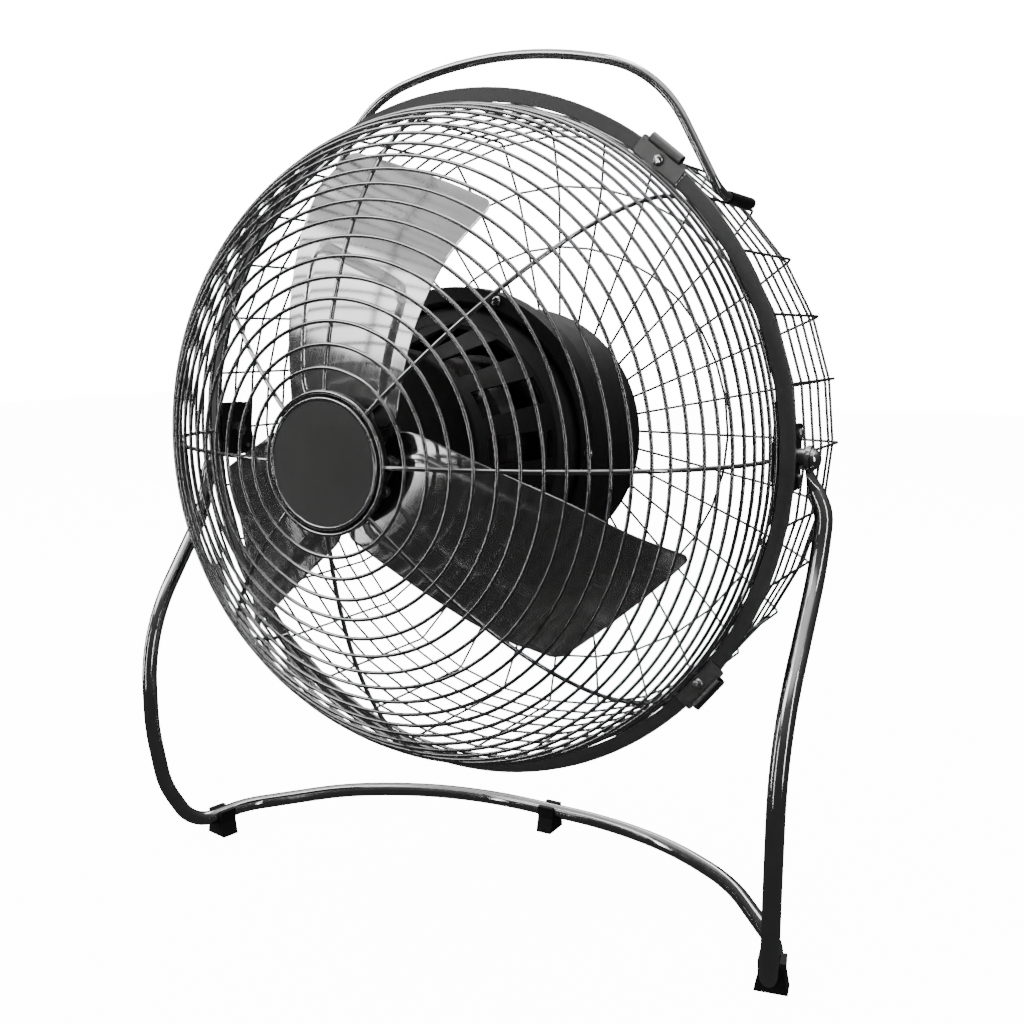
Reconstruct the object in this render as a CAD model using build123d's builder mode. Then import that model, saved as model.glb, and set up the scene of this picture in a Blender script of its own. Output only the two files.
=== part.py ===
"""Axial air mover: a floor fan with a round wire guard on a bent tube stand.

Millimetres, +Z up, the fan blows towards -Y.  Origin at the bottom centre of the whole object.
The head is drawn in the frame HEAD: x to the right, y up, z towards the front, with its origin
on the fan axis at the front face of the guard band.
"""
from build123d import *
from math import atan2, cos, degrees, pi, radians, sin, sqrt, tan
import os

os.makedirs("parts", exist_ok=True)

# ------------------------------------------------------------------ driving dimensions
BAND_R = 250.0            # outer radius of the guard band: an 18 inch class fan
AXIS_H = 357.5            # height of the fan axis above the floor
HEAD_Y = -9.6             # the band's front face, so that the whole object is centred on Y = 0

BAND_IN = 240.0
BAND_T = 2.0
SLIT_ANGLE = 46.5
SLIT_W = 0.8

DOME_R = 237.5            # the front guard is half an ellipsoid: radius at the rim
DOME_D = 160.0            # and depth on the axis
RING_STEP = 3.6           # degrees of the ellipse's parameter from ring to ring
RING_FIRST = 3
RING_LAST = 25
RING_WIRE = 2.5
RIB_WIRE = 3.0
RIB_COUNT = 8
WELD = 0.4                # how far crossing wires sink into each other

CAGE_R = 241.2            # centre line of the rear guard's wires
CAGE_WIRE = 2.0
CAGE_COUNT = 32
CAGE_REAR = 146.0         # depth of the corner behind the band
CAGE_BOW = 159.0
CAGE_BACK = 161.5
CAGE_RING_PITCH = 20.5
CAGE_WIRE_END = 64.0

BADGE_R = 39.0
BADGE_FRONT = 158.5
BEZEL_R = 41.5

CLIP_ANGLES = (51, 141, -129, -39)
CLIP_SCREW_R = 244.5
CURL_R = 253.5

PIVOT_DEPTH = 18.75       # the tilt axis lies this far behind the band's front face
PIVOT_BOLT_R = 3.0
TUBE_D = 12.0
TUBE_H = 17.5             # centre of the base tube above the floor

HANDLE_D = 7.0
HANDLE_DEPTH = 62.5
SLEEVE_D = 8.5
SLEEVE_END = 127.5

SHAFT_R = 5.0
FIT = 0.02                # radial clearance of a running fit
PLATE_FRONT = 158.6       # front face of the guard mounting plate, behind the band
PLATE_T = 2.0
PLATE_R = 70.0
NECK_R = 50.0
SHELL_SPLIT = 3.5

STATOR_R = 60.0
STATOR_BORE = 34.0
STATOR_HALF = 19.0
AIR_GAP = 0.6
BRACKET_R = 64.0
BRACKET_T = 8.0
BEARING_R = 13.0
BEARING_W = 9.0
TIE_R = 55.0
BLADE_T = 1.2
SPIDER_FRONT = 131.0
SPIDER_R = 43.0

HEAD = Plane(origin=(0, HEAD_Y, AXIS_H), x_dir=(1, 0, 0), z_dir=(0, -1, 0))
FAN_AXIS = Axis((0, HEAD_Y, AXIS_H), (0, -1, 0))
PROFILE = Plane(origin=(0, HEAD_Y, AXIS_H), x_dir=(1, 0, 0), z_dir=(0, 0, 1))  # x radius, y depth
PIVOT_Y = HEAD_Y + PIVOT_DEPTH


def save(part, name):
    """Label a finished piece and write it."""
    part.label = name
    export_step(part, f"parts/{name}.step")


def at_angle(angle, radius=0.0, front=0.0):
    """A plane on the head: x outwards, y anticlockwise, z to the front."""
    outwards = Vector(cos(radians(angle)), 0, sin(radians(angle)))
    return Plane(origin=HEAD.origin + outwards * radius - Vector(0, front, 0), x_dir=outwards, z_dir=(0, -1, 0))


def screw(head_r, head_h, shank_r, shank_l, cross=True):
    """A pan-head screw on +Z with its seat at z = 0."""
    with BuildPart() as made:
        with BuildSketch(Plane.XZ) as outline:
            with BuildLine():
                Polyline((0, -shank_l), (shank_r, -shank_l), (shank_r, 0), (head_r, 0), (head_r, head_h * 0.3))
                ThreePointArc((head_r, head_h * 0.3), (head_r * 0.78, head_h * 0.8), (head_r * 0.3, head_h))
                Polyline((head_r * 0.3, head_h), (0, head_h), (0, -shank_l))
            make_face()
        revolve(axis=Axis.Z)
        if cross:
            with Locations((0, 0, head_h)):
                Box(head_r * 1.2, head_r * 0.26, head_h * 0.9, mode=Mode.SUBTRACT)
                Box(head_r * 0.26, head_r * 1.2, head_h * 0.9, mode=Mode.SUBTRACT)
    return made.part


def hex_nut(across, thick, bore):
    """A hexagon nut standing on z = 0."""
    with BuildPart() as made:
        with BuildSketch():
            RegularPolygon(radius=across / 2, side_count=6, major_radius=False)
            Circle(bore, mode=Mode.SUBTRACT)
        extrude(amount=thick)
    return made.part


# ------------------------------------------------------------------ stand
# right half of the tube's centre line, from the pivot down and round to the middle of the base
STAND_RIGHT = [
    (266.0, 15.5, -34.0),
    (265.0, 8.0, -69.0),
    (264.5, -63.8, -164.0),
    (264.0, -64.0, -245.0),
    (261.5, -55.5, -297.5),
    (254.0, -32.5, TUBE_H - AXIS_H),
    (243.8, 21.3, TUBE_H - AXIS_H),
    (186.3, 93.8, TUBE_H - AXIS_H),
    (122.5, 131.3, TUBE_H - AXIS_H),
    (55.0, 147.0, TUBE_H - AXIS_H),
]
STAND_RADII = [30.0, 100.0, 140.0, 200.0, 80.0, 37.5, 60.0, 150.0, 235.0, 270.0]
TAB_X = 252.8             # inner face of the flattened pivot end
TAB_T = 2.9
TAB_R = 9.0
TUBE_TOP = (259.0, 18.0, -21.0)


def in_room(point, side=1):
    """A point of the head frame's x, depth and height, in the object's frame."""
    return (side * point[0], point[1] + HEAD_Y, point[2] + AXIS_H)


stand_route = [in_room(TUBE_TOP)] + [in_room(p) for p in STAND_RIGHT]
stand_route += [in_room(p, -1) for p in reversed(STAND_RIGHT)] + [in_room(TUBE_TOP, -1)]
with BuildPart() as stand_tube:
    with BuildLine() as stand_line:
        FilletPolyline(*stand_route, radius=STAND_RADII + STAND_RADII[::-1])
    with BuildSketch(Plane(origin=stand_line.line @ 0, z_dir=stand_line.line % 0)):
        Circle(TUBE_D / 2)
    sweep()
    for side in (1, -1):
        mouth = stand_line.line @ (0 if side == 1 else 1)
        along = stand_line.line % (0 if side == 1 else 1)
        tab_mid = side * (TAB_X + TAB_T / 2)
        with BuildSketch(Plane(origin=mouth, x_dir=(1, 0, 0), z_dir=along * side)):
            Circle(TUBE_D / 2)
        with BuildSketch(Plane(origin=(tab_mid, PIVOT_Y, AXIS_H - 8.2), x_dir=(1, 0, 0), z_dir=(0, 0, -1))):
            Ellipse(TAB_T / 2, TAB_R - 0.4)
        loft()
        with BuildSketch(Plane(origin=(side * TAB_X, PIVOT_Y, AXIS_H), x_dir=(0, 1, 0), z_dir=(side, 0, 0))):
            Circle(TAB_R)
        extrude(amount=TAB_T)
        with Locations(Plane(origin=(tab_mid, PIVOT_Y, AXIS_H), z_dir=(1, 0, 0))):
            Cylinder(PIVOT_BOLT_R + 0.05, TAB_T * 3, mode=Mode.SUBTRACT)
save(stand_tube.part, "stand_tube")


def foot(place, half_length, bottom, waist, top, wall_top):
    """A rubber cradle for the base tube: x along the tube, z up, standing on the floor."""
    with BuildPart() as made:
        with BuildSketch(Plane.YZ) as outline:
            with BuildLine():
                Polyline(
                    (-bottom / 2, 0), (bottom / 2, 0), (bottom / 2 - 0.6, 2.5), (waist / 2, TUBE_H - 5),
                    (top / 2, wall_top), (-top / 2, wall_top), (-waist / 2, TUBE_H - 5),
                    (-bottom / 2 + 0.6, 2.5), close=True,
                )
            make_face()
            with Locations((0, TUBE_H)):
                Circle(TUBE_D / 2, mode=Mode.SUBTRACT)
            with Locations((0, TUBE_H + 10)):
                Rectangle(TUBE_D - 1.5, 20, mode=Mode.SUBTRACT)
        extrude(amount=half_length, both=True)
    return made.part.moved(place)


corner, bend = Vector(*STAND_RIGHT[5]), Vector(*STAND_RIGHT[6])
front_foot = corner + (bend - corner) * 0.55      # centre of a front foot on the straight run
FRONT_TURN = degrees(atan2(bend.Y - corner.Y, bend.X - corner.X))
for side, name in ((1, "foot_right"), (-1, "foot_left")):
    turn = FRONT_TURN if side == 1 else 180 - FRONT_TURN
    spot = Location((side * front_foot.X, front_foot.Y + HEAD_Y, 0), (0, 0, turn))
    with BuildPart() as foot_front:
        add(foot(spot, 7.5, 23.0, 18.0, 18.6, TUBE_H + 5.0))
    save(foot_front.part, name)
with BuildPart() as foot_rear:
    add(foot(Location((0, STAND_RIGHT[9][1] + HEAD_Y, 0)), 7.0, 24.0, 18.0, 18.6, TUBE_H + 5.0))
save(foot_rear.part, "foot_rear")

# ------------------------------------------------------------------ guard band and clips
with BuildPart() as guard_band:
    with BuildSketch(HEAD.offset(-BAND_T)):
        Circle(BAND_R)
        Circle(BAND_IN, mode=Mode.SUBTRACT)
        for angle in CLIP_ANGLES:
            with PolarLocations(CLIP_SCREW_R, 1, start_angle=angle):
                Circle(2.05, mode=Mode.SUBTRACT)
        with PolarLocations(BAND_R - 5, 1, start_angle=SLIT_ANGLE):
            Rectangle(14, SLIT_W, mode=Mode.SUBTRACT)
    extrude(amount=BAND_T)
    fillet(guard_band.edges().filter_by(GeomType.CIRCLE).filter_by(lambda e: e.radius > 200), radius=0.6)
save(guard_band.part, "guard_band")

CLIP_T = 1.2
CLIP_MID_R = 245.9
with BuildPart() as guard_clips:
    for angle in CLIP_ANGLES:
        with BuildSketch(at_angle(angle, CLIP_MID_R)):
            RectangleRounded(13.0, 38.0, 2.0)
            with Locations((CLIP_SCREW_R - CLIP_MID_R, 0)):
                Circle(2.05, mode=Mode.SUBTRACT)
        extrude(amount=CLIP_T)
        curl = at_angle(angle, CURL_R, 0.6)
        with Locations(Plane(origin=curl.origin, z_dir=curl.y_dir)):
            Cylinder(3.5, 27.0)
            Cylinder(2.1, 27.0, mode=Mode.SUBTRACT)
save(guard_clips.part, "guard_clips")

clip_screw = screw(4.0, 2.6, 2.0, 7.0)
clip_nut = hex_nut(7.0, 3.2, 2.0)
with BuildPart() as clip_screws:
    for angle in CLIP_ANGLES:
        with Locations(at_angle(angle, CLIP_SCREW_R, CLIP_T)):
            add(clip_screw)
save(clip_screws.part, "clip_screws")
with BuildPart() as clip_nuts:
    for angle in CLIP_ANGLES:
        with Locations(at_angle(angle, CLIP_SCREW_R, -BAND_T - 3.2)):
            add(clip_nut)
save(clip_nuts.part, "clip_nuts")

# ------------------------------------------------------------------ front guard
RING_GROUPS = {
    "front_rings_inner": range(RING_FIRST, 11),
    "front_rings_middle": range(11, 19),
    "front_rings_outer": range(19, RING_LAST + 1),
}
for name, steps in RING_GROUPS.items():
    with BuildPart() as ring_group:
        for step in steps:
            angle = radians(RING_STEP * step)
            with Locations(HEAD.offset(DOME_D * cos(angle))):
                Torus(DOME_R * sin(angle), RING_WIRE / 2)
    save(ring_group.part, name)

RIB_INSET = RING_WIRE / 2 + RIB_WIRE / 2 - WELD
RIB_STEPS = 6


def rib_point(angle):
    """Centre of a rib at one parameter of the ellipse, inside the rings."""
    out = Vector(DOME_D * sin(angle), DOME_R * cos(angle)).normalized() * RIB_INSET
    return (DOME_R * sin(angle) - out.X, DOME_D * cos(angle) - out.Y)


rib_start = radians(RING_STEP * RING_FIRST - 0.3)
rib_end = radians(88.5)
rib_points = [rib_point(rib_start + (rib_end - rib_start) * i / RIB_STEPS) for i in range(RIB_STEPS + 1)]
with BuildPart() as rib:
    with BuildLine(Plane.XZ) as rib_line:
        heading = Vector(DOME_R * cos(rib_start), -DOME_D * sin(rib_start))
        for here, there in zip(rib_points, rib_points[1:]):
            arc = TangentArc(here, there, tangent=(heading.X, heading.Y))
            leaving = arc % 1
            heading = Vector(leaving.X, leaving.Z)
    with BuildSketch(Plane(origin=rib_line.line @ 0, z_dir=rib_line.line % 0)):
        Circle(RIB_WIRE / 2)
    sweep()
with BuildPart() as front_guard_ribs:
    with Locations(HEAD):
        with PolarLocations(0, RIB_COUNT):
            add(rib.part)
save(front_guard_ribs.part, "front_guard_ribs")

RING_IN_R = DOME_R * sin(radians(RING_STEP * RING_FIRST))
BACKING_FRONT = 153.6     # front face of the plate that the ribs are welded to
with BuildPart() as badge_disc:
    with BuildSketch(HEAD.offset(BADGE_FRONT - 2.2)):
        Circle(BADGE_R)
    extrude(amount=2.2)
    fillet(badge_disc.edges().filter_by(GeomType.CIRCLE).sort_by(Axis.Y)[0], radius=0.5)
save(badge_disc.part, "badge_disc")
with BuildPart() as badge_bezel:
    with BuildSketch(HEAD.offset(BADGE_FRONT - 3.2)):
        Circle(BEZEL_R)
        Circle(BADGE_R, mode=Mode.SUBTRACT)
    extrude(amount=3.7)
    fillet(badge_bezel.edges().filter_by(GeomType.CIRCLE).sort_by(Axis.Y)[0:2], radius=0.9)
save(badge_bezel.part, "badge_bezel")
with BuildPart() as badge_backing:
    with BuildSketch(HEAD.offset(BACKING_FRONT - 1.5)):
        Circle(RING_IN_R + 0.6)
    extrude(amount=1.5)
    with BuildSketch(HEAD.offset(BACKING_FRONT)):
        Circle(BADGE_R - 3)
    extrude(amount=BADGE_FRONT - 2.2 - BACKING_FRONT)
save(badge_backing.part, "badge_backing")

# ------------------------------------------------------------------ rear guard
with BuildPart() as cage_wire:
    with BuildLine(Plane.XZ) as wire_line:
        FilletPolyline(
            (CAGE_R, -BAND_T + 0.2), (CAGE_R, -CAGE_REAR), (196, -CAGE_BOW), (CAGE_WIRE_END, -CAGE_BACK),
            radius=[7.0, 120.0],
        )
    with BuildSketch(Plane(origin=wire_line.line @ 0, z_dir=wire_line.line % 0)):
        Circle(CAGE_WIRE / 2)
    sweep()
with BuildPart() as rear_guard_wires:
    with Locations(HEAD):
        with PolarLocations(0, CAGE_COUNT):
            add(cage_wire.part)
    with Locations((0, HEAD_Y + BAND_T + 14, AXIS_H)):
        Box(500, 32, 6, mode=Mode.SUBTRACT)
save(rear_guard_wires.part, "rear_guard_wires")


def polygon_ring(radius, depth, wire=CAGE_WIRE):
    """A ring wire that runs straight from cage wire to cage wire."""
    corners = [
        (radius * cos(2 * pi * i / CAGE_COUNT), radius * sin(2 * pi * i / CAGE_COUNT)) for i in range(CAGE_COUNT)
    ]
    with BuildPart() as made:
        with BuildLine(HEAD.offset(-depth)) as around:
            FilletPolyline(*corners, radius=min(30.0, radius * 0.4), close=True)
        with BuildSketch(Plane(origin=around.line @ 0, z_dir=around.line % 0)):
            Circle(wire / 2)
        sweep()
    return made.part


SIDE_RING_R = CAGE_R - CAGE_WIRE + WELD
with BuildPart() as rear_guard_side_rings:
    for step in range(0, 8):
        depth = CAGE_RING_PITCH * step if step else BAND_T + 1.2
        add(polygon_ring(SIDE_RING_R if step < 7 else SIDE_RING_R - 2.0, min(depth, CAGE_REAR - 4.0)))
    with Locations(Plane(origin=(0, PIVOT_Y, AXIS_H), z_dir=(1, 0, 0))):
        Cylinder(PIVOT_BOLT_R + 2, 600, mode=Mode.SUBTRACT)
save(rear_guard_side_rings.part, "rear_guard_side_rings")
with BuildPart() as rear_guard_back_rings:
    add(polygon_ring(200.0, 156.4))
    add(polygon_ring(151.3, 158.2))
save(rear_guard_back_rings.part, "rear_guard_back_rings")

with BuildPart() as rear_mount_plate:
    with BuildSketch(HEAD.offset(-PLATE_FRONT - PLATE_T)):
        Circle(PLATE_R)
        Circle(16.0, mode=Mode.SUBTRACT)
        with PolarLocations(42.0, 4, start_angle=45):
            Circle(2.55, mode=Mode.SUBTRACT)
    extrude(amount=PLATE_T)
save(rear_mount_plate.part, "rear_mount_plate")
mount_screw = screw(5.0, 2.8, 2.5, 12.0)
with BuildPart() as mount_screws:
    back = Plane(origin=HEAD.offset(-PLATE_FRONT - PLATE_T).origin, x_dir=(1, 0, 0), z_dir=(0, 1, 0))
    with Locations(back):
        with PolarLocations(42.0, 4, start_angle=45):
            add(mount_screw)
save(mount_screws.part, "mount_screws")

# ------------------------------------------------------------------ tilt pivots
PLATE_Z = 22.0            # half height of a clamp plate
PLATE_NEAR = 2.6
PLATE_FAR = 36.2


def pivot_plane(x, side):
    """A plane across the tilt axis, z outwards."""
    return Plane(origin=(side * x, PIVOT_Y, AXIS_H), x_dir=(0, side, 0), z_dir=(side, 0, 0))


def clamp_plates(inner, thick, name):
    """A pair of black plates that clamp the cage wires at the tilt axis."""
    with BuildPart() as made:
        for side in (1, -1):
            shift = (PLATE_NEAR + PLATE_FAR) / 2 - PIVOT_DEPTH
            with BuildSketch(pivot_plane(inner, side)):
                with Locations((side * shift, 0)):
                    RectangleRounded(PLATE_FAR - PLATE_NEAR, PLATE_Z * 2, 3.0)
                Circle(PIVOT_BOLT_R + 0.05, mode=Mode.SUBTRACT)
                with Locations((side * (shift + 11), 15), (side * (shift + 11), -15)):
                    Circle(2.05, mode=Mode.SUBTRACT)
            extrude(amount=thick)
            face = made.faces().filter_by(Axis.X).sort_by(Axis.X)[-1 if side == 1 else 0]
            fillet(face.outer_wire().edges(), radius=0.6)
    save(made.part, name)


clamp_plates(242.0, 2.0, "pivot_outer_plates")
clamp_plates(234.2, 2.0, "pivot_inner_plates")


def turned_pair(name, x, radius, length, bore):
    """Two plain round pieces on the tilt axis, from x outwards."""
    with BuildPart() as made:
        for side in (1, -1):
            with BuildSketch(pivot_plane(x, side)):
                Circle(radius)
                Circle(bore, mode=Mode.SUBTRACT)
            extrude(amount=length)
    save(made.part, name)


turned_pair("pivot_spacers", 244.0, 7.0, 8.5, PIVOT_BOLT_R + 0.05)
turned_pair("pivot_washers", 256.0, 7.5, 1.2, PIVOT_BOLT_R + 0.05)
with BuildPart() as pivot_bolts:
    for side in (1, -1):
        with BuildSketch(Plane(origin=(0, PIVOT_Y, AXIS_H), x_dir=(side, 0, 0), z_dir=(0, 0, side))) as outline:
            with BuildLine():
                Polyline((228.0, 0), (228.0, PIVOT_BOLT_R), (257.2, PIVOT_BOLT_R), (257.2, 6.5), (258.2, 6.5))
                ThreePointArc((258.2, 6.5), (260.3, 4.6), (261.4, 1.6))
                Polyline((261.4, 1.6), (261.4, 0), (228.0, 0))
            make_face()
        revolve(axis=Axis((0, PIVOT_Y, AXIS_H), (1, 0, 0)))
save(pivot_bolts.part, "pivot_bolts")
with BuildPart() as pivot_nuts:
    for side in (1, -1):
        with Locations(pivot_plane(229.2, side)):
            add(hex_nut(10.0, 5.0, PIVOT_BOLT_R))
save(pivot_nuts.part, "pivot_nuts")
clamp_screw = screw(3.6, 2.2, 2.0, 10.6)
with BuildPart() as clamp_screws:
    for side in (1, -1):
        shift = (PLATE_NEAR + PLATE_FAR) / 2 - PIVOT_DEPTH
        with Locations(pivot_plane(244.0, side)):
            with Locations((side * (shift + 11), 15), (side * (shift + 11), -15)):
                add(clamp_screw)
save(clamp_screws.part, "clamp_screws")

# ------------------------------------------------------------------ handle
HANDLE_RIGHT = [(43.1, 283.5), (126.8, 261.5), (174.0, 174.0)]
HANDLE_RADII = [345.0, 95.0, 13.0]
handle_points = [(-x, HANDLE_DEPTH, z) for x, z in reversed(HANDLE_RIGHT)]
handle_points += [(x, HANDLE_DEPTH, z) for x, z in HANDLE_RIGHT]
leg_x, leg_z = HANDLE_RIGHT[-1]
handle_route = [(-leg_x, SLEEVE_END - 1.5, leg_z)] + handle_points + [(leg_x, SLEEVE_END - 1.5, leg_z)]
with BuildPart() as handle_bar:
    with BuildLine() as handle_line:
        FilletPolyline(*[in_room(p) for p in handle_route], radius=HANDLE_RADII[::-1] + HANDLE_RADII)
    with BuildSketch(Plane(origin=handle_line.line @ 0, z_dir=handle_line.line % 0)):
        Circle(HANDLE_D / 2)
    sweep()
save(handle_bar.part, "handle_bar")
SLEEVE_START = HANDLE_DEPTH + 16.0
for side, name in ((1, "handle_sleeve_right"), (-1, "handle_sleeve_left")):
    front_end = in_room((leg_x, SLEEVE_START, leg_z), side)
    with BuildPart() as sleeve:
        with BuildSketch(Plane(origin=front_end, z_dir=(0, 1, 0))):
            Circle(SLEEVE_D / 2)
        extrude(amount=SLEEVE_END - SLEEVE_START)
        fillet(sleeve.edges().filter_by(GeomType.CIRCLE), radius=0.5)
        with BuildSketch(Plane(origin=front_end, z_dir=(0, 1, 0))):
            Circle(HANDLE_D / 2)
        extrude(amount=SLEEVE_END - SLEEVE_START - 1.5, mode=Mode.SUBTRACT)
    save(sleeve.part, name)

# ------------------------------------------------------------------ motor housing
VENTS = 14
with BuildPart() as motor_front_cover:
    with BuildSketch(PROFILE):
        with BuildLine():
            Polyline(
                (9, -83), (68, -83), (88, -12), (96, -4.5), (99, 1), (101, -3.5), (103, -5), (113, -5),
                (113, SHELL_SPLIT), (98, SHELL_SPLIT), (85.4, -10.5), (66, -80.4), (9, -80.4), close=True,
            )
        make_face()
    revolve(axis=FAN_AXIS)
    rims = motor_front_cover.edges().filter_by(GeomType.CIRCLE)
    fillet(rims.filter_by(lambda e: abs(e.radius - 68) < 0.1), radius=4.0)
    fillet(rims.filter_by(lambda e: abs(e.radius - 96) < 0.1), radius=3.0)
    for vent in range(VENTS):
        with Locations(at_angle(3.2 + 360 / VENTS * vent, 84.0, 45.5)):
            Box(44.0, 19.5, 59.0, mode=Mode.SUBTRACT)
    with Locations(HEAD):
        with PolarLocations(108.0, 5, start_angle=-1):
            Cylinder(2.05, 20.0, mode=Mode.SUBTRACT)
save(motor_front_cover.part, "motor_front_cover")
with BuildPart() as cover_screws:
    for index in range(5):
        with Locations(at_angle(-1 + 72 * index, 108.0, 5.0)):
            add(screw(3.8, 2.6, 2.0, 13.0))
save(cover_screws.part, "cover_screws")

SHELL_BACK = 115.0
NECK_T = 2.6
with BuildPart() as motor_rear_shell:
    with BuildSketch(PROFILE):
        with BuildLine():
            Polyline((94, SHELL_SPLIT), (113, SHELL_SPLIT), (113, 12), (105, 12), (99.5, 100))
            ThreePointArc((99.5, 100), (95.4, 110.6), (84.5, SHELL_BACK))
            Polyline(
                (84.5, SHELL_BACK), (NECK_R, SHELL_BACK), (NECK_R, PLATE_FRONT), (6.2, PLATE_FRONT),
                (6.2, PLATE_FRONT - NECK_T), (NECK_R - NECK_T, PLATE_FRONT - NECK_T),
                (NECK_R - NECK_T, SHELL_BACK - NECK_T), (84, SHELL_BACK - NECK_T),
            )
            ThreePointArc((84, SHELL_BACK - NECK_T), (93.4, 108.8), (96.9, 100))
            Polyline((96.9, 100), (101.5, 14), (94, 12), (94, SHELL_SPLIT))
        make_face()
    revolve(axis=FAN_AXIS)
    post_top = STATOR_HALF + 12 + BRACKET_T
    with BuildSketch(HEAD.offset(-SHELL_BACK + NECK_T / 2)):
        with PolarLocations(TIE_R, 4, start_angle=45):
            Circle(7.0)
            Circle(2.55, mode=Mode.SUBTRACT)
    extrude(amount=SHELL_BACK - NECK_T / 2 - post_top)
    with BuildSketch(HEAD.offset(-PLATE_FRONT + NECK_T / 2)):
        with PolarLocations(42.0, 4, start_angle=45):
            Circle(6.5)
    extrude(amount=14)
    with Locations(HEAD.offset(-PLATE_FRONT)):
        with PolarLocations(42.0, 4, start_angle=45):
            Cylinder(2.55, 26, mode=Mode.SUBTRACT)
    with Locations(HEAD.offset(-7.75)):
        with PolarLocations(108.0, 5, start_angle=-1):
            Cylinder(2.05, 8.6, mode=Mode.SUBTRACT)
    with Locations(Plane(origin=(0, HEAD_Y + 138.0, AXIS_H - NECK_R), z_dir=(0, 0, -1))):
        Cylinder(6.0, 16.0, mode=Mode.SUBTRACT)
save(motor_rear_shell.part, "motor_rear_shell")

# ------------------------------------------------------------------ motor
SLOTS = 18
with BuildPart() as stator_core:
    with BuildSketch(HEAD.offset(-STATOR_HALF)):
        Circle(STATOR_R)
        Circle(STATOR_BORE, mode=Mode.SUBTRACT)
        with PolarLocations(STATOR_BORE + 9.5, SLOTS):
            SlotOverall(13.0, 6.0, mode=Mode.SUBTRACT)
        with PolarLocations(TIE_R, 4, start_angle=45):
            Circle(2.55, mode=Mode.SUBTRACT)
    extrude(amount=STATOR_HALF * 2)
save(stator_core.part, "stator_core")
with BuildPart() as stator_windings:
    with BuildSketch(HEAD.offset(-STATOR_HALF)):
        with PolarLocations(STATOR_BORE + 9.5, SLOTS):
            SlotOverall(13.0, 6.0)
    extrude(amount=STATOR_HALF * 2)
    for front in (STATOR_HALF, -STATOR_HALF - 11):
        with BuildSketch(HEAD.offset(front)):
            Circle(STATOR_BORE + 16.0)
            Circle(STATOR_BORE + 3.0, mode=Mode.SUBTRACT)
        extrude(amount=11)
save(stator_windings.part, "stator_windings")


def end_bracket(front, name):
    """A cast end bracket of the motor: front is +1 for the front one, -1 for the rear one."""
    base = front * (STATOR_HALF + 12)
    with BuildPart() as made:
        with BuildSketch(HEAD.offset(base)):
            Circle(BRACKET_R)
            Circle(BEARING_R, mode=Mode.SUBTRACT)
            with PolarLocations(TIE_R, 4, start_angle=45):
                Circle(2.55, mode=Mode.SUBTRACT)
            with PolarLocations(32.0, 8):
                SlotOverall(17.0, 7.0, mode=Mode.SUBTRACT)
        extrude(amount=front * BRACKET_T)
        with BuildSketch(HEAD.offset(base)):
            Circle(BEARING_R + 4)
            Circle(BEARING_R, mode=Mode.SUBTRACT)
        extrude(amount=front * (BEARING_W + 2))
        with BuildSketch(HEAD.offset(front * (STATOR_HALF))):
            Circle(BRACKET_R)
            Circle(BRACKET_R - 6, mode=Mode.SUBTRACT)
        extrude(amount=front * 12)
    save(made.part, name)


end_bracket(1, "motor_end_bracket_front")
end_bracket(-1, "motor_end_bracket_rear")
for front, name in ((1, "bearing_front"), (-1, "bearing_rear")):
    with BuildPart() as bearing:
        with BuildSketch(HEAD.offset(front * (STATOR_HALF + 13))):
            Circle(BEARING_R)
            Circle(SHAFT_R + FIT, mode=Mode.SUBTRACT)
        extrude(amount=front * BEARING_W)
    save(bearing.part, name)
with BuildPart() as motor_tie_bolts:
    for index in range(4):
        with Locations(at_angle(45 + 90 * index, TIE_R, STATOR_HALF + 12 + BRACKET_T)):
            add(screw(4.5, 3.0, 2.5, 2 * (STATOR_HALF + 12 + BRACKET_T) + 14, cross=False))
save(motor_tie_bolts.part, "motor_tie_bolts")

with BuildPart() as run_capacitor:
    with Locations(Plane(origin=(-78, HEAD_Y + 84.0, AXIS_H + 12), z_dir=(0, 1, 0))):
        Cylinder(13.0, 48.0)
    fillet(run_capacitor.edges().filter_by(GeomType.CIRCLE), radius=2.0)
    with Locations(Plane(origin=(-78, HEAD_Y + 57.0, AXIS_H + 12), z_dir=(0, 1, 0))):
        with GridLocations(10, 0, 2, 1):
            Box(0.8, 6, 8)
save(run_capacitor.part, "run_capacitor")
with BuildPart() as capacitor_strap:
    with BuildSketch(Plane(origin=(-78, HEAD_Y + 88.0, AXIS_H + 12), x_dir=(1, 0, 0), z_dir=(0, -1, 0))):
        Circle(14.0)
        Circle(13.0, mode=Mode.SUBTRACT)
    extrude(amount=12)
save(capacitor_strap.part, "capacitor_strap")
with BuildPart() as speed_switch:
    with Locations(Plane(origin=(0, HEAD_Y + PLATE_FRONT - NECK_T - 9.0, AXIS_H), z_dir=(0, 1, 0))):
        Box(34, 34, 18)
    fillet(speed_switch.edges().filter_by(Axis.Y), radius=3.0)
    with Locations(Plane(origin=(0, HEAD_Y + PLATE_FRONT, AXIS_H), z_dir=(0, 1, 0))):
        Cylinder(6.0, 14.0)
        Cylinder(3.05, 60.0, mode=Mode.SUBTRACT)
save(speed_switch.part, "speed_switch")
with BuildPart() as switch_nut:
    with Locations(Plane(origin=(0, HEAD_Y + PLATE_FRONT, AXIS_H), z_dir=(0, 1, 0))):
        add(hex_nut(15.0, 2.6, 6.0))
save(switch_nut.part, "switch_nut")
with BuildPart() as terminal_block:
    with Locations((28, HEAD_Y + 122.0, AXIS_H - 10)):
        Box(14, 16, 40)
        with Locations((0, -8, 12), (0, -8, 0), (0, -8, -12)):
            Box(8, 5, 7, mode=Mode.SUBTRACT)
save(terminal_block.part, "terminal_block")
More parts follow.
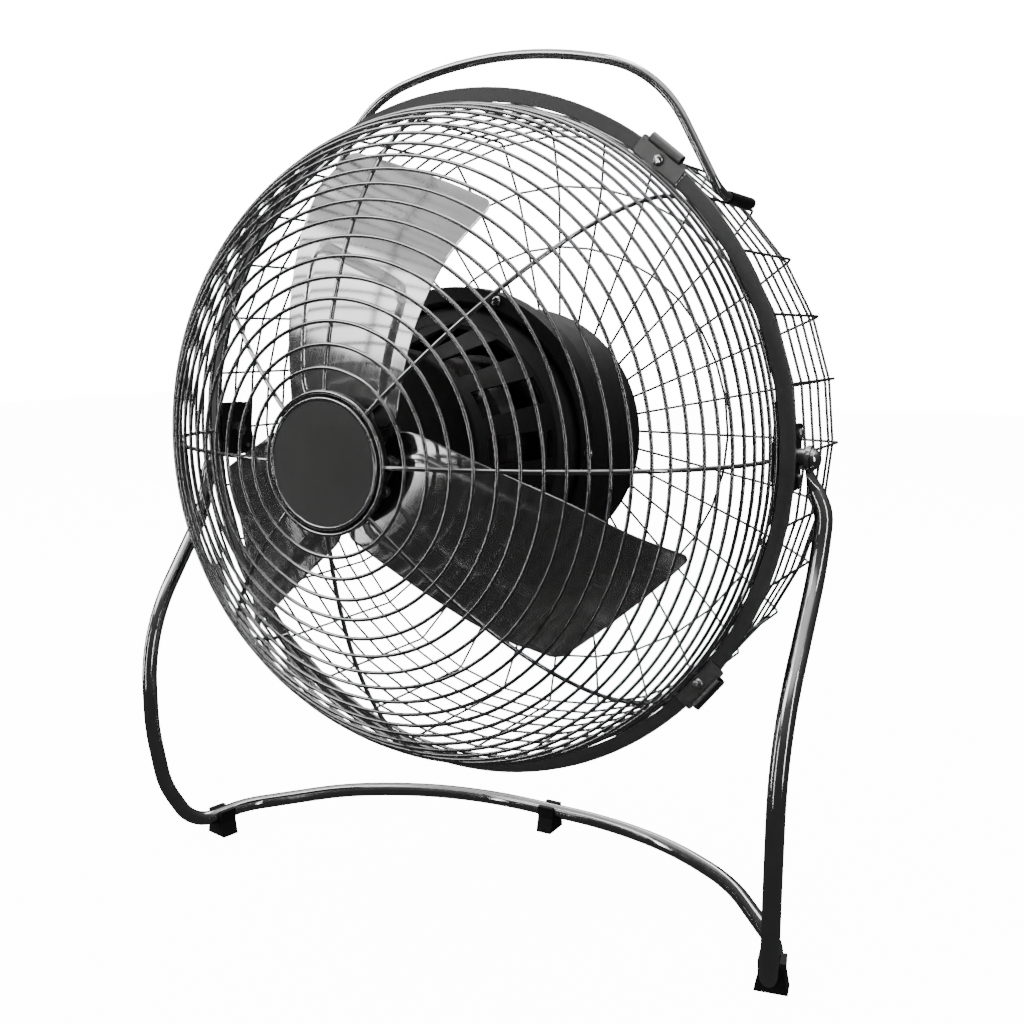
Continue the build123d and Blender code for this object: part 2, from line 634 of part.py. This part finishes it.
with BuildPart() as cable_gland:
    with BuildSketch(Plane(origin=(0, HEAD_Y + 138.0, AXIS_H), x_dir=(1, 0, 0), z_dir=(0, 1, 0))) as outline:
        with BuildLine():
            Polyline((3.2, 44), (6.0, 44), (6.0, 50.2), (9.5, 50.2), (9.5, 53), (7.5, 62), (3.2, 62), close=True)
        make_face()
    revolve(axis=Axis((0, HEAD_Y + 138.0, AXIS_H), (0, 0, -1)))
save(cable_gland.part, "cable_gland")

with BuildPart() as speed_knob:
    knob_base = PLATE_FRONT + 7.6
    with BuildSketch(Plane(origin=(0, HEAD_Y + knob_base, AXIS_H), x_dir=(1, 0, 0), z_dir=(0, 1, 0))):
        Circle(16.0)
    extrude(amount=10.0, taper=4)
    fillet(speed_knob.edges().sort_by(Axis.Y)[-1], radius=1.5)
    with Locations((0, HEAD_Y + knob_base + 7, AXIS_H)):
        Box(7.0, 10.0, 27.0)
    with Locations(Plane(origin=(0, HEAD_Y + knob_base - 10, AXIS_H), z_dir=(0, 1, 0))):
        Cylinder(3.0, 28.0)
save(speed_knob.part, "speed_knob")

# ------------------------------------------------------------------ impeller
with BuildPart() as motor_shaft:
    with BuildSketch(HEAD.offset(-STATOR_HALF - 26)):
        Circle(SHAFT_R)
    extrude(amount=STATOR_HALF + 26 + 141)
    chamfer(motor_shaft.edges().filter_by(GeomType.CIRCLE), length=0.8)
save(motor_shaft.part, "motor_shaft")
with BuildPart() as rotor_core:
    with BuildSketch(HEAD.offset(-STATOR_HALF)):
        Circle(STATOR_BORE - AIR_GAP)
        Circle(SHAFT_R, mode=Mode.SUBTRACT)
    extrude(amount=STATOR_HALF * 2)
    for front in (STATOR_HALF, -STATOR_HALF - 5):
        with BuildSketch(HEAD.offset(front)):
            Circle(STATOR_BORE - AIR_GAP - 1)
            Circle(STATOR_BORE - AIR_GAP - 9, mode=Mode.SUBTRACT)
        extrude(amount=5)
save(rotor_core.part, "rotor_core")

# edges of one blade as radius-wise height, sideways (anticlockwise) and front distance
BLADE_LEAD = [(22.0, 41.5, 136.0), (82.0, 50.0, 127.0), (133.0, 55.0, 110.5), (174.0, 54.5, 88.0), (204.0, 52.0, 53.0)]
BLADE_TRAIL = [(22.0, -41.0, 138.0), (56.0, -43.5, 131.5), (91.0, -47.5, 119.5), (127.0, -54.0, 96.5), (163.5, -62.0, 53.5)]
BLADE_CAMBER = 6.0
CHORD_STEPS = 4


def blade_row(index):
    """One chordwise row of the sheet, from the trailing edge to the leading edge."""
    lead = Vector(*BLADE_LEAD[index])
    trail = Vector(*BLADE_TRAIL[index])
    row = []
    for i in range(CHORD_STEPS + 1):
        share = i / CHORD_STEPS
        sag = BLADE_CAMBER * index / 4 * 4 * share * (1 - share)
        row.append(trail + (lead - trail) * share - Vector(0, 0, sag))
    return row


blade_face = Face.make_surface_from_array_of_points([blade_row(i) for i in range(len(BLADE_LEAD))])
with BuildPart() as blade_shape:
    thicken(blade_face, amount=BLADE_T / 2, both=True)
RIVET_L = 12.0
RIVETS = ((29.0, -18.0), (29.0, 18.0), (36.0, 0.0))
for index in range(3):
    with BuildPart() as blade:
        with Locations(at_angle(90 + 120 * index)):
            add(blade_shape.part)
            with Locations([(height, across, 136) for height, across in RIVETS]):
                Cylinder(2.0, 20, mode=Mode.SUBTRACT)
    save(blade.part, f"blade_{index + 1}")
with BuildPart() as impeller_hub:
    with BuildSketch(HEAD.offset(SPIDER_FRONT - 2.5)):
        Circle(SPIDER_R)
        Circle(SHAFT_R, mode=Mode.SUBTRACT)
        for height, across in RIVETS:
            with PolarLocations(sqrt(height**2 + across**2), 3, start_angle=90 + degrees(atan2(across, height))):
                Circle(2.0, mode=Mode.SUBTRACT)
    extrude(amount=2.5)
    with BuildSketch(HEAD.offset(SPIDER_FRONT - 24)):
        Circle(14.0)
        Circle(SHAFT_R, mode=Mode.SUBTRACT)
    extrude(amount=26)
    with Locations(at_angle(30, 10, SPIDER_FRONT - 12)):
        with Locations(Rotation(0, 90, 0)):
            Cylinder(2.5, 20, mode=Mode.SUBTRACT)
save(impeller_hub.part, "impeller_hub")
with BuildPart() as hub_set_screw:
    with Locations(at_angle(30, 9.5, SPIDER_FRONT - 12)):
        with Locations(Rotation(0, 90, 0)):
            Cylinder(2.5, 9.0)
            with Locations((0, 0, 4.5)):
                Cylinder(1.2, 4.0, mode=Mode.SUBTRACT)
save(hub_set_screw.part, "hub_set_screw")
with BuildPart() as blade_rivets:
    for index in range(3):
        with Locations(at_angle(90 + 120 * index, 0, SPIDER_FRONT - 3.5)):
            with Locations([(height, across) for height, across in RIVETS]):
                Cylinder(2.0, RIVET_L, align=(Align.CENTER, Align.CENTER, Align.MIN))
                Cylinder(3.6, 1.0, align=(Align.CENTER, Align.CENTER, Align.MIN))
                with Locations((0, 0, RIVET_L - 1.0)):
                    Cylinder(3.6, 1.0, align=(Align.CENTER, Align.CENTER, Align.MIN))
save(blade_rivets.part, "blade_rivets")
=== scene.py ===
"""Looks of the axial air mover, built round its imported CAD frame. Metres, +Z up, the fan blows towards -Y."""
import math

import bmesh
import bpy
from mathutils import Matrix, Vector


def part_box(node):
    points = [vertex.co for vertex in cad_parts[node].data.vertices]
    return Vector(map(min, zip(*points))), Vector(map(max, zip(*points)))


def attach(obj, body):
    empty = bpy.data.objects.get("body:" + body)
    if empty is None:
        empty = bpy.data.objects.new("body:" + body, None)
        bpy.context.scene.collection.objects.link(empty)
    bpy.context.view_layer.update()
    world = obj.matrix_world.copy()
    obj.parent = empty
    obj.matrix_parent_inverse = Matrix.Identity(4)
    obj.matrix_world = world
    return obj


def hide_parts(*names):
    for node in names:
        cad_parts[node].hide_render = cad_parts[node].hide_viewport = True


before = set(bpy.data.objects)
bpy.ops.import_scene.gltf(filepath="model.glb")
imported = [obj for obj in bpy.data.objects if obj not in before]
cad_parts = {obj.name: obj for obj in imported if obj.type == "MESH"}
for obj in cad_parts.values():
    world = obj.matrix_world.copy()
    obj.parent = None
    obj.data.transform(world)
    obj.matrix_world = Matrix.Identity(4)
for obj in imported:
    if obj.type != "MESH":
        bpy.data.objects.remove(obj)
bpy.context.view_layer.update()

MM = 0.001
band_low, band_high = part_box("guard_band")
AXIS_X = (band_low[0] + band_high[0]) / 2
AXIS_Z = (band_low[2] + band_high[2]) / 2
FRONT_Y = band_low[1]
CENTRE = Vector((AXIS_X, FRONT_Y, AXIS_Z))

# Camera, from the middle of the band's front face
CAMERA_FROM_CENTRE = Vector((0.449, -0.712, 0.080))
CAMERA_DOWN = 8.88
CAMERA_TURN = 29.58
LENS = 40.25
SENSOR = 36.0

# White that the camera sees behind and under the fan, strong enough to stay white in the view transform
BACKDROP_STRENGTH = 16.0
FLOOR_STRENGTH = 14.0
FLOOR_HALF = 6.0

# What the metal reflects, from straight down (0) to straight up (1)
STUDIO_STOPS = ((0.0, 0.03), (0.47, 0.035), (0.60, 0.05), (0.80, 0.10), (0.88, 0.7), (1.0, 1.0))

# Area lights: name, place, size, power
LIGHTS = (
    ("key", (-1.5, -1.6, 2.1), (1.8, 1.4), 26),
    ("top", (0.1, 0.3, 2.6), (0.5, 2.2), 16),
    ("strip_left", (-2.1, -1.2, 0.7), (0.12, 2.0), 8),
    ("strip_right", (2.2, -0.9, 0.8), (0.10, 2.0), 7),
    ("strip_front", (-0.9, -2.6, 0.3), (0.10, 1.6), 4),
    ("back", (-0.5, 2.0, 1.6), (1.4, 0.5), 8),
)


# ------------------------------------------------------------------ camera, light and stage
def add_camera():
    """A long-ish lens in front of the fan, to its left as it stands, a little above the fan axis."""
    data = bpy.data.cameras.new("camera")
    data.lens = LENS
    data.sensor_width = SENSOR
    camera = bpy.data.objects.new("camera", data)
    camera.location = CENTRE + CAMERA_FROM_CENTRE
    camera.rotation_euler = (math.radians(90 - CAMERA_DOWN), 0, math.radians(CAMERA_TURN))
    bpy.context.collection.objects.link(camera)
    bpy.context.scene.camera = camera


def add_area(name, place, size, power):
    """A rectangular light that faces the fan."""
    data = bpy.data.lights.new(name, "AREA")
    data.energy = power
    data.shape = "RECTANGLE"
    data.size, data.size_y = size
    light = bpy.data.objects.new(name, data)
    light.location = place
    light.rotation_euler = (CENTRE - Vector(place)).to_track_quat("-Z", "Y").to_euler()
    bpy.context.collection.objects.link(light)


def add_world():
    """White for the camera; for reflections a studio with a bright ceiling and a darker horizon."""
    world = bpy.data.worlds.new("studio")
    world.use_nodes = True
    nodes, links = world.node_tree.nodes, world.node_tree.links
    nodes.clear()
    out = nodes.new("ShaderNodeOutputWorld")
    mix = nodes.new("ShaderNodeMixShader")
    seen = nodes.new("ShaderNodeBackground")
    seen.inputs["Color"].default_value = (1, 1, 1, 1)
    seen.inputs["Strength"].default_value = BACKDROP_STRENGTH
    studio = nodes.new("ShaderNodeBackground")
    studio.inputs["Strength"].default_value = 1.0
    coords = nodes.new("ShaderNodeTexCoord")
    split = nodes.new("ShaderNodeSeparateXYZ")
    ramp = nodes.new("ShaderNodeValToRGB")
    half = nodes.new("ShaderNodeMath")
    half.operation = "MULTIPLY_ADD"
    half.inputs[1].default_value = 0.5
    half.inputs[2].default_value = 0.5
    elements = ramp.color_ramp.elements
    elements[0].position, elements[1].position = STUDIO_STOPS[0][0], STUDIO_STOPS[-1][0]
    elements[0].color = (STUDIO_STOPS[0][1],) * 3 + (1,)
    elements[1].color = (STUDIO_STOPS[-1][1],) * 3 + (1,)
    for position, value in STUDIO_STOPS[1:-1]:
        stop = elements.new(position)
        stop.color = (value, value, value, 1)
    path = nodes.new("ShaderNodeLightPath")
    links.new(coords.outputs["Generated"], split.inputs[0])
    links.new(split.outputs["Z"], half.inputs[0])
    links.new(half.outputs[0], ramp.inputs[0])
    links.new(ramp.outputs[0], studio.inputs["Color"])
    links.new(path.outputs["Is Camera Ray"], mix.inputs[0])
    links.new(studio.outputs[0], mix.inputs[1])
    links.new(seen.outputs[0], mix.inputs[2])
    links.new(mix.outputs[0], out.inputs[0])
    bpy.context.scene.world = world


def add_floor():
    """A plain white floor that the object neither reflects nor is lit by."""
    mesh = bpy.data.meshes.new("floor")
    corners = [(x * FLOOR_HALF, y * FLOOR_HALF, 0) for x, y in ((-1, -1), (1, -1), (1, 1), (-1, 1))]
    mesh.from_pydata(corners, [], [(0, 1, 2, 3)])
    floor = bpy.data.objects.new("floor", mesh)
    bpy.context.collection.objects.link(floor)
    material = bpy.data.materials.new("floor")
    material.use_nodes = True
    shader = material.node_tree.nodes["Principled BSDF"]
    shader.inputs["Base Color"].default_value = (0.93, 0.93, 0.93, 1)
    shader.inputs["Roughness"].default_value = 0.9
    shader.inputs["Specular IOR Level"].default_value = 0.1
    shader.inputs["Emission Color"].default_value = (1, 1, 1, 1)
    shader.inputs["Emission Strength"].default_value = FLOOR_STRENGTH
    mesh.materials.append(material)
    floor.visible_glossy = False
    floor.visible_diffuse = False


# ------------------------------------------------------------------ materials
def new_material(name, color, metallic, roughness):
    """A principled material and the pieces of its tree that the finishes below add to."""
    material = bpy.data.materials.new(name)
    material.use_nodes = True
    tree = material.node_tree
    shader = tree.nodes["Principled BSDF"]
    shader.inputs["Base Color"].default_value = (*color, 1)
    shader.inputs["Metallic"].default_value = metallic
    shader.inputs["Roughness"].default_value = roughness
    return material, tree, shader


def noise(tree, scale, detail, stretch=(1, 1, 1), source="Object"):
    """Noise in object space, or along the piece's own UV when source is UV."""
    coords = tree.nodes.new("ShaderNodeTexCoord")
    mapping = tree.nodes.new("ShaderNodeMapping")
    mapping.inputs["Scale"].default_value = stretch
    texture = tree.nodes.new("ShaderNodeTexNoise")
    texture.inputs["Scale"].default_value = scale
    texture.inputs["Detail"].default_value = detail
    tree.links.new(coords.outputs[source], mapping.inputs[0])
    tree.links.new(mapping.outputs[0], texture.inputs[0])
    return texture


def vary(tree, texture, low, high, socket):
    """Drives a socket between two values with a texture."""
    spread = tree.nodes.new("ShaderNodeMapRange")
    spread.inputs["From Min"].default_value = 0.3
    spread.inputs["From Max"].default_value = 0.7
    spread.inputs["To Min"].default_value = low
    spread.inputs["To Max"].default_value = high
    tree.links.new(texture.outputs["Fac"], spread.inputs["Value"])
    tree.links.new(spread.outputs[0], socket)


def tint(tree, texture, dark, light, shader):
    """Varies the base colour between two greys."""
    ramp = tree.nodes.new("ShaderNodeValToRGB")
    ramp.color_ramp.elements[0].position = 0.3
    ramp.color_ramp.elements[1].position = 0.7
    ramp.color_ramp.elements[0].color = (*dark, 1)
    ramp.color_ramp.elements[1].color = (*light, 1)
    tree.links.new(texture.outputs["Fac"], ramp.inputs[0])
    tree.links.new(ramp.outputs[0], shader.inputs["Base Color"])


def bump(tree, texture, strength, distance, shader):
    """Raises the surface by a texture."""
    node = tree.nodes.new("ShaderNodeBump")
    node.inputs["Strength"].default_value = strength
    node.inputs["Distance"].default_value = distance
    tree.links.new(texture.outputs["Fac"], node.inputs["Height"])
    tree.links.new(node.outputs[0], shader.inputs["Normal"])


def chrome(name, value, rough):
    """Plated steel: a mirror with faint drawn unevenness."""
    material, tree, shader = new_material(name, (value, value, value * 1.01), 1.0, rough)
    fine = noise(tree, 60, 4)
    vary(tree, fine, rough * 0.7, rough * 1.8, shader.inputs["Roughness"])
    tint(tree, fine, (value * 0.93,) * 3, (value * 1.04,) * 3, shader)
    return material


def enamel(name, value, rough, coat=0.0, grain=900):
    """Satin stoved paint with a fine orange-peel surface."""
    material, tree, shader = new_material(name, (value, value, value), 0.0, rough)
    peel = noise(tree, grain, 3)
    vary(tree, noise(tree, 25, 5), rough - 0.05, rough + 0.07, shader.inputs["Roughness"])
    tint(tree, noise(tree, 14, 4), (value * 0.9,) * 3, (value * 1.12,) * 3, shader)
    bump(tree, peel, 0.10, 0.0002, shader)
    shader.inputs["Coat Weight"].default_value = coat
    shader.inputs["Coat Roughness"].default_value = 0.25
    return material


def moulded(name, value, rough, grain=1400, depth=0.00025):
    """Moulded plastic or rubber with a spark-eroded texture."""
    material, tree, shader = new_material(name, (value, value, value), 0.0, rough)
    vary(tree, noise(tree, 40, 5), rough - 0.06, rough + 0.08, shader.inputs["Roughness"])
    tint(tree, noise(tree, 22, 4), (value * 0.85,) * 3, (value * 1.2,) * 3, shader)
    bump(tree, noise(tree, grain, 2), 0.22, depth, shader)
    return material


def sheet_metal(name, value, rough, uv=False):
    """Rolled sheet: fine streaks along the rolling direction and soft, uneven gloss."""
    material, tree, shader = new_material(name, (value,) * 3, 1.0, rough)
    source = "UV" if uv else "Object"
    streaks = noise(tree, 6 if uv else 60, 6, (30, 0.7, 1) if uv else (1, 1, 8), source)
    cloud = noise(tree, 2.5 if uv else 12, 3, (1, 1, 1), source)
    vary(tree, streaks, rough * 0.8, rough * 1.3, shader.inputs["Roughness"])
    tint(tree, cloud, (value * 0.93,) * 3, (value * 1.04,) * 3, shader)
    shader.inputs["Anisotropic"].default_value = 0.35
    return material


def copper_wire():
    """Varnished winding wire."""
    material, tree, shader = new_material("winding_copper", (0.45, 0.18, 0.07), 0.9, 0.35)
    wires = noise(tree, 300, 2, (1, 12, 1))
    tint(tree, wires, (0.30, 0.11, 0.04), (0.62, 0.28, 0.11), shader)
    bump(tree, wires, 0.5, 0.0005, shader)
    return material


def dress(materials):
    """Gives each CAD node its finish through its own material slots."""
    groups = {
        "chrome": "stand_tube badge_bezel pivot_spacers pivot_bolts pivot_washers handle_bar clip_screws "
        "cover_screws",
        "guard": "front_rings_inner front_rings_middle front_rings_outer front_guard_ribs",
        "clip": "guard_clips",
        "wire": "rear_guard_wires rear_guard_side_rings rear_guard_back_rings",
        "zinc": "pivot_nuts clip_nuts mount_screws clamp_screws capacitor_strap switch_nut motor_tie_bolts "
        "hub_set_screw bearing_front bearing_rear motor_shaft",
        "rubber": "foot_left foot_right foot_rear",
        "band": "guard_band",
        "badge": "badge_disc",
        "black": "pivot_outer_plates pivot_inner_plates badge_backing rear_mount_plate",
        "plastic": "motor_front_cover motor_rear_shell cable_gland speed_knob speed_switch terminal_block",
        "sleeve": "handle_sleeve_left handle_sleeve_right",
        "blade": "blade_1 blade_2 blade_3",
        "cast": "blade_rivets impeller_hub motor_end_bracket_front motor_end_bracket_rear run_capacitor",
        "steel": "rotor_core stator_core",
        "copper": "stator_windings",
    }
    for finish, names in groups.items():
        for name in names.split():
            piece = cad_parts[name]
            for slot in piece.material_slots:
                slot.material = materials[finish]


# ------------------------------------------------------------------ blades
# In millimetres: out from the fan axis, sideways, and forwards of the band's front face
BLADE_LEAD = (
    (22.0, 41.5, 136.0), (82.0, 50.0, 127.0), (133.0, 55.0, 110.5), (174.0, 54.5, 88.0),
    (204.0, 52.0, 53.0),
)
BLADE_TRAIL = (
    (22.0, -41.0, 138.0), (56.0, -43.5, 131.5), (91.0, -47.5, 119.5), (127.0, -54.0, 96.5),
    (163.5, -62.0, 53.5),
)
BLADE_COUNT = 3
BLADE_LENGTH = 165.0
BLADE_CAMBER = 6.0
BLADE_THICK = 1.0
TIP_BULGE = 2.0           # how far the tip's edge bows outwards
EDGE_BEVEL = 0.25
UV_PER_MM = 0.01
ROWS, COLUMNS = 90, 56
TRAIL_CORNER = 7.0        # rounding of the sheet's corners
LEAD_CORNER = 6.0
ROOT_CORNER = 12.0
PANEL_RISE = 2.4          # the pressed panel stands proud of the sheet
PANEL_SOFT = 2.2          # half the width of its sloping edge
PANEL_CORNER = 12.0
PANEL_MIDDLE = 0.31       # of the blade's length
PANEL_HALF_LENGTH = 0.25
PANEL_HALF_WIDTH = 0.36   # of the blade's width


def through(points, share):
    """A smooth curve through evenly numbered points (Catmull-Rom)."""
    count = len(points) - 1
    at = min(share * count, count - 1e-6)
    index = int(at)
    t = at - index
    p = [Vector(points[min(max(index + k, 0), count)]) for k in (-1, 0, 1, 2)]
    if index == 0:
        p[0] = 2 * p[1] - p[2]
    if index == count - 1:
        p[3] = 2 * p[2] - p[1]
    return 0.5 * (2 * p[1] + (p[2] - p[0]) * t + (2 * p[0] - 5 * p[1] + 4 * p[2] - p[3]) * t**2
                  + (3 * p[1] - p[0] - 3 * p[2] + p[3]) * t**3)


def rounded_end(out, radius, width):
    """How far a corner of that radius pulls the side in, as a share of the width."""
    left = BLADE_LENGTH * (1 - out)
    if left >= radius:
        return 0.0
    return radius * (1 - math.sqrt(max(0.0, 1 - (1 - left / radius) ** 2))) / width


def panel_height(across, out, width):
    """The pressed panel: a rounded rectangle from the root to the middle of the blade."""
    x = abs(across - 0.5) * width - PANEL_HALF_WIDTH * width + PANEL_CORNER
    y = abs(out - PANEL_MIDDLE) * BLADE_LENGTH - PANEL_HALF_LENGTH * BLADE_LENGTH + PANEL_CORNER
    away = math.hypot(max(x, 0), max(y, 0)) + min(max(x, y), 0) - PANEL_CORNER
    t = min(max(0.5 - away / (2 * PANEL_SOFT), 0), 1)
    return PANEL_RISE * t * t * (3 - 2 * t)


def blade_mesh(name, angle, material):
    """One pressed sheet blade at an angle round the fan axis."""
    outwards = Vector((math.cos(angle), 0, math.sin(angle)))
    sideways = Vector((-math.sin(angle), 0, math.cos(angle)))
    mesh = bpy.data.meshes.new(name)
    work = bmesh.new()
    uv_layer = work.loops.layers.uv.new("along")
    grid, spots = [], {}
    for row in range(ROWS + 1):
        out = (1 - math.cos(row / ROWS * math.pi)) / 2
        lead, trail = through(BLADE_LEAD, out), through(BLADE_TRAIL, out)
        width = (lead - trail).length
        root = rounded_end(1 - out, ROOT_CORNER, width)
        low = max(root, rounded_end(out, TRAIL_CORNER, width))
        high = 1 - max(root, rounded_end(out, LEAD_CORNER, width))
        line = []
        for column in range(COLUMNS + 1):
            across = low + (high - low) * column / COLUMNS
            point = trail + (lead - trail) * across
            point.z -= BLADE_CAMBER * out * 4 * across * (1 - across)
            point.z += panel_height(across, out, width)
            point.x += TIP_BULGE * out**6 * 4 * across * (1 - across)
            place = CENTRE + (outwards * point.x + sideways * point.y - Vector((0, point.z, 0))) * MM
            vertex = work.verts.new(place)
            spots[vertex] = (across * width * UV_PER_MM, out * BLADE_LENGTH * UV_PER_MM)
            line.append(vertex)
        grid.append(line)
    for lower, upper in zip(grid, grid[1:]):
        for i in range(COLUMNS):
            face = work.faces.new((lower[i], lower[i + 1], upper[i + 1], upper[i]))
            face.smooth = True
            for loop in face.loops:
                loop[uv_layer].uv = spots[loop.vert]
    work.normal_update()
    work.to_mesh(mesh)
    work.free()
    blade = bpy.data.objects.new(name, mesh)
    bpy.context.collection.objects.link(blade)
    mesh.materials.append(material)
    solid = blade.modifiers.new("thickness", "SOLIDIFY")
    solid.thickness = BLADE_THICK * MM
    solid.offset = 0
    edge = blade.modifiers.new("edge", "BEVEL")
    edge.width = EDGE_BEVEL * MM
    edge.segments = 2
    edge.limit_method = "ANGLE"
    edge.angle_limit = math.radians(50)
    return blade


def add_blades(material):
    """Finer sheet blades, which stand for the CAD's plain ones."""
    for index in range(BLADE_COUNT):
        name = f"blade_{index + 1}"
        blade = blade_mesh(f"pressed_{name}", math.radians(90 + 360 / BLADE_COUNT * index), material)
        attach(blade, "impeller")
        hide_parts(name)


# ------------------------------------------------------------------ build
add_camera()
add_world()
add_floor()
for light in LIGHTS:
    add_area(*light)

finishes = {
    "chrome": chrome("tube_chrome", 0.68, 0.10),
    "guard": chrome("guard_chrome", 0.50, 0.12),
    "clip": sheet_metal("clip_steel", 0.26, 0.34),
    "wire": chrome("cage_wire_plate", 0.42, 0.18),
    "zinc": sheet_metal("zinc_plate", 0.55, 0.3),
    "rubber": moulded("foot_rubber", 0.012, 0.62, 900, 0.0004),
    "band": enamel("band_enamel", 0.12, 0.36, 0.25),
    "badge": enamel("badge_enamel", 0.09, 0.45, 0.0, 1600),
    "black": enamel("plate_enamel", 0.012, 0.45),
    "plastic": moulded("motor_plastic", 0.010, 0.58),
    "sleeve": moulded("sleeve_vinyl", 0.01, 0.35),
    "blade": sheet_metal("blade_aluminium", 0.66, 0.17, uv=True),
    "cast": sheet_metal("cast_aluminium", 0.62, 0.38),
    "steel": sheet_metal("lamination_steel", 0.35, 0.4),
    "copper": copper_wire(),
}
dress(finishes)
add_blades(finishes["blade"])
